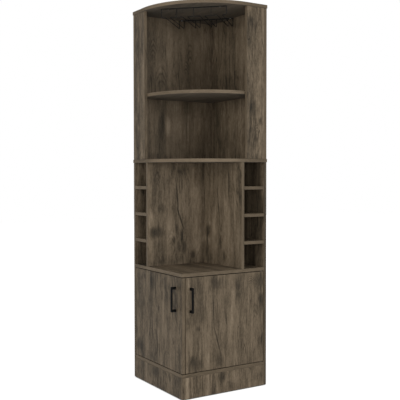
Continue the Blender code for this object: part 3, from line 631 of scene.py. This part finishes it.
def board_material(name, seed):
    """The printed oak of one board, with its edge bands, an underside lightened as painted bounce light,
    or sealed ends darkened as painted shade.
    """
    material, graph, surface = new_material("oak_" + name)
    axes = board_axes(name)
    level = axes[0] == 2
    parts = footprint_parts(graph)
    normal = graph.parts(graph.coordinates("Normal"))
    band = graph.step(graph.math("ABSOLUTE", normal[axes[0]]), *EDGE_TURN)
    grain = grain_place(graph, parts, axes, band)
    place = graph.vector("ADD", grain, tuple(seed * distance for distance in SEED_STEP))
    oak = graph.node("ShaderNodeGroup", {"Place": place}, node_tree=OAK).outputs
    contrast = LEVEL_CONTRAST if level else CONTRASTS.get(name, 1.0)
    tone = graph.swing(oak["Tone"], contrast, 0.5 + SHADES.get(name, 0.0))
    grey = graph.math("MULTIPLY", oak["Smudge"], SMUDGE_SHARE)
    if name in PRINT_AND_PAINTED_LIGHT_MARKS or name in ARCHED:
        tone, grey = add_marks(graph, name, place, parts, axes, tone, grey)

    calm = graph.swing(tone, EDGE_CONTRAST, EDGE_TONES.get(name, EDGE_TONE))
    tone = graph.mix(band, tone, calm, "FLOAT")
    grey = graph.math("MULTIPLY", grey, graph.math("SUBTRACT", 1.0, band), clamp=True)
    colour = graph.mix(grey, graph.ramp(tone, OAK_STOPS), SMUDGE_COLOUR)
    if level:
        # Undersides: painted bounce light, a paler grey mixed in where the surface faces down
        painted_underside_light = graph.step(normal[2], *UNDERSIDE_PAINTED_LIGHT_TURN, 0.0, UNDERSIDE_PAINTED_LIGHT_SHARE)
        colour = graph.mix(painted_underside_light, colour, UNDERSIDE_PAINTED_LIGHT_COLOUR)
    else:
        # Ends of upright boards: sealed chipboard, made dark as painted shade for the gaps above and
        # below the doors
        shaded_sealed_ends = graph.step(graph.math("ABSOLUTE", normal[2]), *SEALED_AND_SHADED_TURN)
        sealed_and_shaded_colour = graph.mix(graph.noise(grain, *CHIPS_LAYER), SEALED_AND_SHADED_DARK, SEALED_AND_SHADED_LIGHT)
        colour = graph.mix(shaded_sealed_ends, colour, sealed_and_shaded_colour)
    graph.feed(surface, {"Base Color": colour, "Roughness": graph.between(tone, *BOARD_ROUGHNESS),
                         "Specular IOR Level": BOARD_GLOSS,
                         "Normal": graph.bump(oak["Relief"], *BOARD_BUMP)})
    return material


# Powder coats: their darkest and lightest colours, the sizes of their grain and haze, how rough and
# glossy they are, and how strong and deep their bumps are
HANDLE_COAT = (srgb(15, 15, 15), srgb(21, 21, 20))
RACK_COAT = (srgb(36, 36, 34), srgb(44, 43, 41))
COAT_GRAIN = 0.0007
COAT_HAZE = 0.020
COAT_ROUGHNESS = (0.50, 0.68)
COAT_GLOSS = 0.04
COAT_BUMP = (0.35, 0.0001)

# Zinc plate
ZINC_COLOURS = (srgb(172, 176, 182), srgb(206, 206, 202))
ZINC_CLOUDS = (0.0025, 0.0025, 3.0, 0.60)
ZINC_ROUGHNESS = (0.22, 0.47)

# Moulded plastics: their darkest and lightest colours and their least roughness
BLACK_PLASTIC = (srgb(22, 22, 23), srgb(30, 30, 30), 0.50)
BROWN_NYLON = (srgb(46, 38, 30), srgb(58, 50, 41), 0.45)
PLASTIC_GRAIN = 0.0005
PLASTIC_CLOUDS = 0.008
PLASTIC_SPAN = 0.15                  # how much rougher they get in their grain
PLASTIC_BUMP = (0.2, 0.00005)

# Ferrite of the magnets
FERRITE_COLOURS = (srgb(38, 38, 40), srgb(74, 74, 76))
FERRITE_SPECKS = (0.0006, 0.0006, 2.0, 0.60)
FERRITE_SHOWN = (0.55, 0.70)
FERRITE_ROUGHNESS = (0.60, 0.45)


def coated_metal(name, dark, light):
    """Powder coat with a fine texture and a faint haze."""
    material, graph, surface = new_material(name)
    place = graph.coordinates()
    grain = graph.noise(place, COAT_GRAIN)
    graph.feed(surface, {"Base Color": graph.mix(graph.noise(place, COAT_HAZE), dark, light),
                         "Roughness": graph.between(grain, *COAT_ROUGHNESS),
                         "Specular IOR Level": COAT_GLOSS,
                         "Normal": graph.bump(grain, *COAT_BUMP)})
    return material


def plated_steel():
    """Zinc-plated steel with cloudy, slightly blue patches."""
    material, graph, surface = new_material("zinc_plate")
    clouds = graph.noise(graph.coordinates(), *ZINC_CLOUDS)
    graph.feed(surface, {"Base Color": graph.mix(clouds, *ZINC_COLOURS), "Metallic": 1.0,
                         "Roughness": graph.between(clouds, *ZINC_ROUGHNESS)})
    return material


def moulded_plastic(name, dark, light, roughness):
    """Moulded plastic with a faint sparked grain."""
    material, graph, surface = new_material(name)
    place = graph.coordinates()
    grain = graph.noise(place, PLASTIC_GRAIN)
    graph.feed(surface, {"Base Color": graph.mix(graph.noise(place, PLASTIC_CLOUDS), dark, light),
                         "Roughness": graph.between(grain, roughness, roughness + PLASTIC_SPAN),
                         "Normal": graph.bump(grain, *PLASTIC_BUMP)})
    return material


def ferrite():
    """Dark sintered magnet with pale specks."""
    material, graph, surface = new_material("ferrite")
    specks = graph.step(graph.noise(graph.coordinates(), *FERRITE_SPECKS), *FERRITE_SHOWN)
    graph.feed(surface, {"Base Color": graph.mix(specks, *FERRITE_COLOURS),
                         "Roughness": graph.between(specks, *FERRITE_ROUGHNESS)})
    return material


def dress(node, material):
    """Put a material in every slot of one of the solids."""
    mesh = nodes[node].data
    if not mesh.materials:
        mesh.materials.append(material)
    for slot in range(len(mesh.materials)):
        mesh.materials[slot] = material


def dress_solids(steel):
    """Give each board an oak of its own and the other solids the finish of their slot.

    The rack's metal is paler than the handles', which share its slot.
    """
    finishes = {"black_metal": coated_metal("black_powder_coat", *HANDLE_COAT),
                "zinc_steel": steel,
                "black_plastic": moulded_plastic("black_plastic", *BLACK_PLASTIC),
                "nylon": moulded_plastic("brown_nylon", *BROWN_NYLON)}
    rack_coat = coated_metal("rack_powder_coat", *RACK_COAT)
    boards = sorted(name for name in nodes if slots[name] == "oak_board")
    for name in sorted(nodes):
        if name in boards:
            seed = boards.index(SHARED_PRINT.get(name, name)) + 1
            dress(name, board_material(name, seed))
        elif slots[name] == "black_metal" and name.startswith("glass_rack"):
            dress(name, rack_coat)
        else:
            dress(name, finishes[slots[name]])


def add_turned(bm, profile):
    """A closed solid of revolution about Z, from points of radius and height that end on the axis."""
    rings = []
    for radius, height in profile:
        sides = TURNED_SIDES if radius > 0 else 1
        turns = [2 * math.pi * k / sides for k in range(sides)]
        rings.append([bm.verts.new((radius * math.cos(turn), radius * math.sin(turn), height))
                      for turn in turns])
    for first, second in zip(rings, rings[1:]):
        for k in range(TURNED_SIDES):
            loop = [first[k % len(first)], first[(k + 1) % len(first)],
                    second[(k + 1) % len(second)], second[k % len(second)]]
            bm.faces.new(list(dict.fromkeys(loop)))


def add_rod(bm, radius, low, high):
    """A round rod along Z."""
    add_turned(bm, [(0.0, low), (radius, low), (radius, high), (0.0, high)])


def add_prism(bm, outline, low, high, low_scale=1.0):
    """A prism along Z on an outline in X and Y, which may taper towards its lower end."""
    base = [bm.verts.new((x * low_scale, y * low_scale, low)) for x, y in outline]
    top = [bm.verts.new((x, y, high)) for x, y in outline]
    bm.faces.new(base[::-1])
    bm.faces.new(top)
    for k in range(len(outline)):
        after = (k + 1) % len(outline)
        bm.faces.new((base[k], base[after], top[after], top[k]))


def cross_outline(reach, half):
    """The twelve corners of a cross with this reach and half the width of its wings."""
    corners = []
    for cosine, sine in ((1, 0), (0, 1), (-1, 0), (0, -1)):
        for x, y in ((reach, -half), (reach, half), (half, half)):
            corners.append((x * cosine - y * sine, x * sine + y * cosine))
    return corners


def rectangle(width, height, middle_line=0.0):
    """The four corners of a rectangle whose middle lies this far up."""
    low, high = middle_line - height / 2, middle_line + height / 2
    return [(-width / 2, low), (width / 2, low), (width / 2, high), (-width / 2, high)]


def mesh_from(bm, name, round_edges=0.0):
    """The mesh of a finished bmesh, with its faces turned outwards and, if asked, its edges rounded."""
    bmesh.ops.recalc_face_normals(bm, faces=bm.faces)
    if round_edges:
        bmesh.ops.bevel(bm, geom=list(bm.edges), offset=round_edges, segments=2, profile=0.5,
                        affect="EDGES")
    bmesh.ops.triangulate(bm, faces=[face for face in bm.faces if len(face.verts) > 4])
    mesh = bpy.data.meshes.new(name)
    bm.to_mesh(mesh)
    bm.free()
    return mesh


def combined(operation, mesh, other, name):
    """The union or, by operation, the difference of two meshes."""
    body = bpy.data.objects.new(name, mesh)
    tool = bpy.data.objects.new(name + "_tool", other)
    for made in (body, tool):
        bpy.context.scene.collection.objects.link(made)
    modifier = body.modifiers.new("combine", "BOOLEAN")
    modifier.operation = operation
    modifier.object = tool
    evaluated = body.evaluated_get(bpy.context.evaluated_depsgraph_get())
    result = bpy.data.meshes.new_from_object(evaluated)
    result.name = name
    for made in (body, tool):
        bpy.data.objects.remove(made)
    return result


def recess_mesh(name, reach, half, top, depth, overrun):
    """The cutter of a cross recess that narrows downwards."""
    bm = bmesh.new()
    add_prism(bm, cross_outline(reach, half), top - depth, top + overrun, RECESS_TAPER)
    return mesh_from(bm, name)


def screw_mesh(name, head_radius, head_height, shank_radius, shank_length, crown,
               recess_reach, recess_half, recess_depth):
    """A pan-head screw along Z with a cross recess. Its head stands on the level of the origin."""
    shoulder = head_height - crown
    profile = [(0.0, -shank_length), (shank_radius - TIP_CHAMFER, -shank_length),
               (shank_radius, TIP_CHAMFER - shank_length), (shank_radius, 0.0), (head_radius, 0.0),
               (head_radius, shoulder)]
    for step in range(1, CROWN_STEPS):
        turn = math.pi / 2 * step / CROWN_STEPS
        profile.append((head_radius * math.cos(turn) ** CROWN_POWER, shoulder + crown * math.sin(turn)))
    bm = bmesh.new()
    add_turned(bm, profile + [(0.0, head_height)])
    recess = recess_mesh(name + "_recess", recess_reach, recess_half, head_height, recess_depth, crown)
    return combined("DIFFERENCE", mesh_from(bm, name + "_blank"), recess, name)


def groove_mesh(name, level):
    """The cutter of a round groove in a face at this level."""
    ring = bmesh.new()
    add_rod(ring, GROOVE_RADIUS, level - GROOVE_DEPTH, level + GROOVE_DEPTH)
    island = bmesh.new()
    add_rod(island, GROOVE_RADIUS - GROOVE_WIDTH, level - 2 * GROOVE_DEPTH, level + 2 * GROOVE_DEPTH)
    return combined("DIFFERENCE", mesh_from(ring, name + "_ring"), mesh_from(island, name + "_island"),
                    name)


def plate_mesh(name, length, height):
    """A strike plate with cut corners and, in its middle, a flush screw with a cross recess.

    Its back lies at the level of the origin, and the screw's shank points to -Z.
    """
    far, near = length / 2, length / 2 - PLATE_CHAMFER
    top, low = height / 2, height / 2 - PLATE_CHAMFER
    outline = [(-near, -top), (near, -top), (far, -low), (far, low), (near, top), (-near, top),
               (-far, low), (-far, -low)]
    inner = [(x * (1 - PLATE_BEVEL / far), y * (1 - PLATE_BEVEL / top)) for x, y in outline]
    base = bmesh.new()
    add_prism(base, outline, 0.0, PLATE_THICKNESS - PLATE_BEVEL)
    cap = bmesh.new()
    add_prism(cap, inner, PLATE_THICKNESS - 2 * PLATE_BEVEL, PLATE_THICKNESS)
    shank = bmesh.new()
    add_rod(shank, PLATE_SHANK_RADIUS, -PLATE_SHANK_LENGTH, PLATE_THICKNESS / 2)
    whole = combined("UNION", mesh_from(base, name + "_base"), mesh_from(cap, name + "_cap"), name)
    whole = combined("UNION", whole, mesh_from(shank, name + "_shank"), name)
    whole = combined("DIFFERENCE", whole, groove_mesh(name + "_groove", PLATE_THICKNESS), name)
    recess = recess_mesh(name + "_recess", PLATE_RECESS_REACH, PLATE_RECESS_HALF, PLATE_THICKNESS,
                         PLATE_RECESS_DEPTH, PLATE_RECESS_OVERRUN)
    return combined("DIFFERENCE", whole, recess, name)


def face_place(low, high, facing, out):
    """The middle of a box's face that looks along facing, moved outwards by out."""
    reach = sum(abs(value) * size for value, size in zip(facing, (high - low) / 2))
    return (low + high) / 2 + Vector(facing) * (reach + out)


def add_piece(name, mesh, material, body, place, facing, replaced=None):
    """Put a piece whose +Z points along facing and whose X stays level on its body."""
    mesh.materials.clear()
    mesh.materials.append(material)
    mesh.shade_smooth()
    mesh.set_sharp_from_angle(angle=SHARP_ANGLE)
    piece = bpy.data.objects.new(name, mesh)
    up = Vector(facing)
    side = Vector((0.0, 0.0, 1.0)).cross(up) if abs(up.z) < 0.5 else Vector((1.0, 0.0, 0.0))
    turn = Matrix((side, up.cross(side), up)).transposed()
    piece.matrix_world = Matrix.Translation(place) @ turn.to_4x4()
    bpy.context.scene.collection.objects.link(piece)
    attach(piece, body)
    if replaced:
        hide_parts(replaced)


def add_screws(steel):
    """Add the pan-head screws of the handles and the rack, in place of their plain solids."""
    handle_screw = screw_mesh("handle_screw", **HANDLE_SCREW)
    rack_screw = screw_mesh("rack_screw", **RACK_SCREW)
    screws = [("%s_handle_%s_screw" % (side, end), handle_screw, HANDLE_SCREW, inward)
              for side, inward in INWARD.items() for end in ("lower", "upper")]
    screws += [("glass_rack_screw_%d" % (k + 1), rack_screw, RACK_SCREW, DOWN)
               for k in range(RACK_SCREWS)]
    for node, mesh, sizes, facing in screws:
        place = face_place(*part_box(node), facing, -sizes["head_height"])
        add_piece(node + "_pan_head", mesh.copy(), steel, bodies[node], place, facing, node)


def add_strike_plate(side, steel):
    """Put a strike plate with a flush screw in place of a door's plain one, and give its height."""
    node = side + "_strike_plate"
    low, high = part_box(node)
    plate = plate_mesh(node + "_mesh", max(high.x - low.x, high.y - low.y), high.z - low.z)
    place = face_place(low, high, INWARD[side], -PLATE_THICKNESS)
    add_piece(node + "_flush_screw", plate, steel, bodies[node], place, INWARD[side], node)
    return place.z


def add_magnet(side, height, steel, dark):
    """Add the magnet and its two pole plates in a catch's mouth, at this height."""
    catch = side + "_magnet_catch"
    outward = tuple(-value for value in INWARD[side])
    mouth = face_place(*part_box(catch), outward, -MOUTH_DEPTH)
    mouth.z = height
    magnet = bmesh.new()
    add_prism(magnet, rectangle(MAGNET_LENGTH, MAGNET_HEIGHT), MOUTH_GAP, MAGNET_RISE)
    add_piece(side + "_catch_magnet", mesh_from(magnet, side + "_catch_magnet", MAGNET_BEVEL), dark,
              bodies[catch], mouth, outward)
    poles = bmesh.new()
    pole_level = (MAGNET_HEIGHT + POLE_THICKNESS) / 2 + POLE_GAP
    for level in (-pole_level, pole_level):
        add_prism(poles, rectangle(MAGNET_LENGTH, POLE_THICKNESS, level), MOUTH_GAP, POLE_RISE)
    add_piece(side + "_catch_pole_plates", mesh_from(poles, side + "_catch_poles", MAGNET_BEVEL), steel,
              bodies[catch], mouth, outward)


def add_fittings(steel):
    """Add screws, strike plates and the catches' magnets in more detail than the solids have.

    Each magnet is level with the strike plate that it holds.
    """
    add_screws(steel)
    dark = ferrite()
    for side in INWARD:
        height = add_strike_plate(side, steel)
        add_magnet(side, height, steel, dark)


def add_camera():
    """A camera at the photograph's viewing angle."""
    data = bpy.data.cameras.new("camera")
    data.sensor_width = SENSOR
    data.lens = SENSOR * FOCAL_SHARE
    camera = bpy.data.objects.new("camera", data)
    azimuth, pitch = CAMERA_AZIMUTH, CAMERA_PITCH
    back = Vector((math.sin(azimuth) * math.cos(pitch), -math.cos(azimuth) * math.cos(pitch),
                   math.sin(pitch)))
    right = Vector((math.cos(azimuth), math.sin(azimuth), 0.0))
    turn = Matrix((right, back.cross(right), back)).transposed()
    camera.matrix_world = (Matrix.Translation(CAMERA_PLACE) @ turn.to_4x4()
                           @ Matrix.Rotation(CAMERA_ROLL, 4, "Z"))
    bpy.context.scene.collection.objects.link(camera)
    bpy.context.scene.camera = camera


def add_lights():
    """Large square lamps that all look at the cabinet's middle."""
    for name, (place, power) in LIGHTS.items():
        data = bpy.data.lights.new(name, "AREA")
        data.shape = "SQUARE"
        data.size = LIGHT_SIZE
        data.energy = power
        data.color = LIGHT_TINT.get(name, WHITE[:3])
        light = bpy.data.objects.new(name, data)
        light.location = place
        light.rotation_mode = "QUATERNION"
        light.rotation_quaternion = (Vector(LIGHT_AIM) - Vector(place)).to_track_quat("-Z", "Y")
        bpy.context.scene.collection.objects.link(light)


def seen_rays(graph):
    """1 for rays from the camera, a reflection or a see-through surface."""
    path = graph.node("ShaderNodeLightPath").outputs
    seen = graph.math("MAXIMUM", path["Is Camera Ray"], path["Is Glossy Ray"])
    return graph.math("MAXIMUM", seen, path["Is Transmission Ray"])


def add_world():
    """Even white light, which is brighter where it is seen than where it falls on the cabinet."""
    world = bpy.data.worlds.new("studio")
    world.use_nodes = True
    bpy.context.scene.world = world
    graph = Graph(world.node_tree)
    strength = graph.between(seen_rays(graph), WORLD_LEVEL, 1.0)
    graph.feed(world.node_tree.nodes["Background"].inputs, {"Color": WHITE, "Strength": strength})


def floor_material():
    """A matt pale floor that keeps the cabinet's shadow and glows white where it is seen."""
    material = bpy.data.materials.new("pale_floor")
    material.use_nodes = True
    material.node_tree.nodes.clear()
    graph = Graph(material.node_tree)
    parts = footprint_parts(graph)
    out = graph.math("MAXIMUM", graph.math("ABSOLUTE", parts[0]), graph.math("ABSOLUTE", parts[1]))
    level = graph.math("ADD", graph.step(out, *FAR_FLOOR, 0.0, FAR_GLOW), FLOOR_GLOW)
    level = graph.math("MULTIPLY", graph.step(out, *FLOOR_SHADE), level)
    strength = graph.math("MULTIPLY", seen_rays(graph), level)
    glow = graph.node("ShaderNodeEmission", {"Color": WHITE, "Strength": strength})
    matt = graph.node("ShaderNodeBsdfDiffuse", {"Color": FLOOR_COLOUR})
    both = graph.node("ShaderNodeAddShader", {0: matt.outputs[0], 1: glow.outputs[0]})
    graph.node("ShaderNodeOutputMaterial", {"Surface": both.outputs[0]}, target="ALL")
    return material


def add_floor():
    """A square floor at the level of the glides' feet."""
    bm = bmesh.new()
    reach = FLOOR_REACH
    corners = [(-reach, -reach, 0.0), (reach, -reach, 0.0), (reach, reach, 0.0), (-reach, reach, 0.0)]
    bm.faces.new([bm.verts.new(corner) for corner in corners])
    mesh = bpy.data.meshes.new("floor")
    bm.to_mesh(mesh)
    bm.free()
    mesh.materials.append(floor_material())
    floor = bpy.data.objects.new("floor", mesh)
    bpy.context.scene.collection.objects.link(floor)


def add_studio():
    """The stage round the cabinet."""
    add_world()
    add_floor()
    add_lights()
    bpy.context.scene.view_settings.view_transform = "Standard"


zinc_plate = plated_steel()
add_camera()
dress_solids(zinc_plate)
add_fittings(zinc_plate)
add_studio()
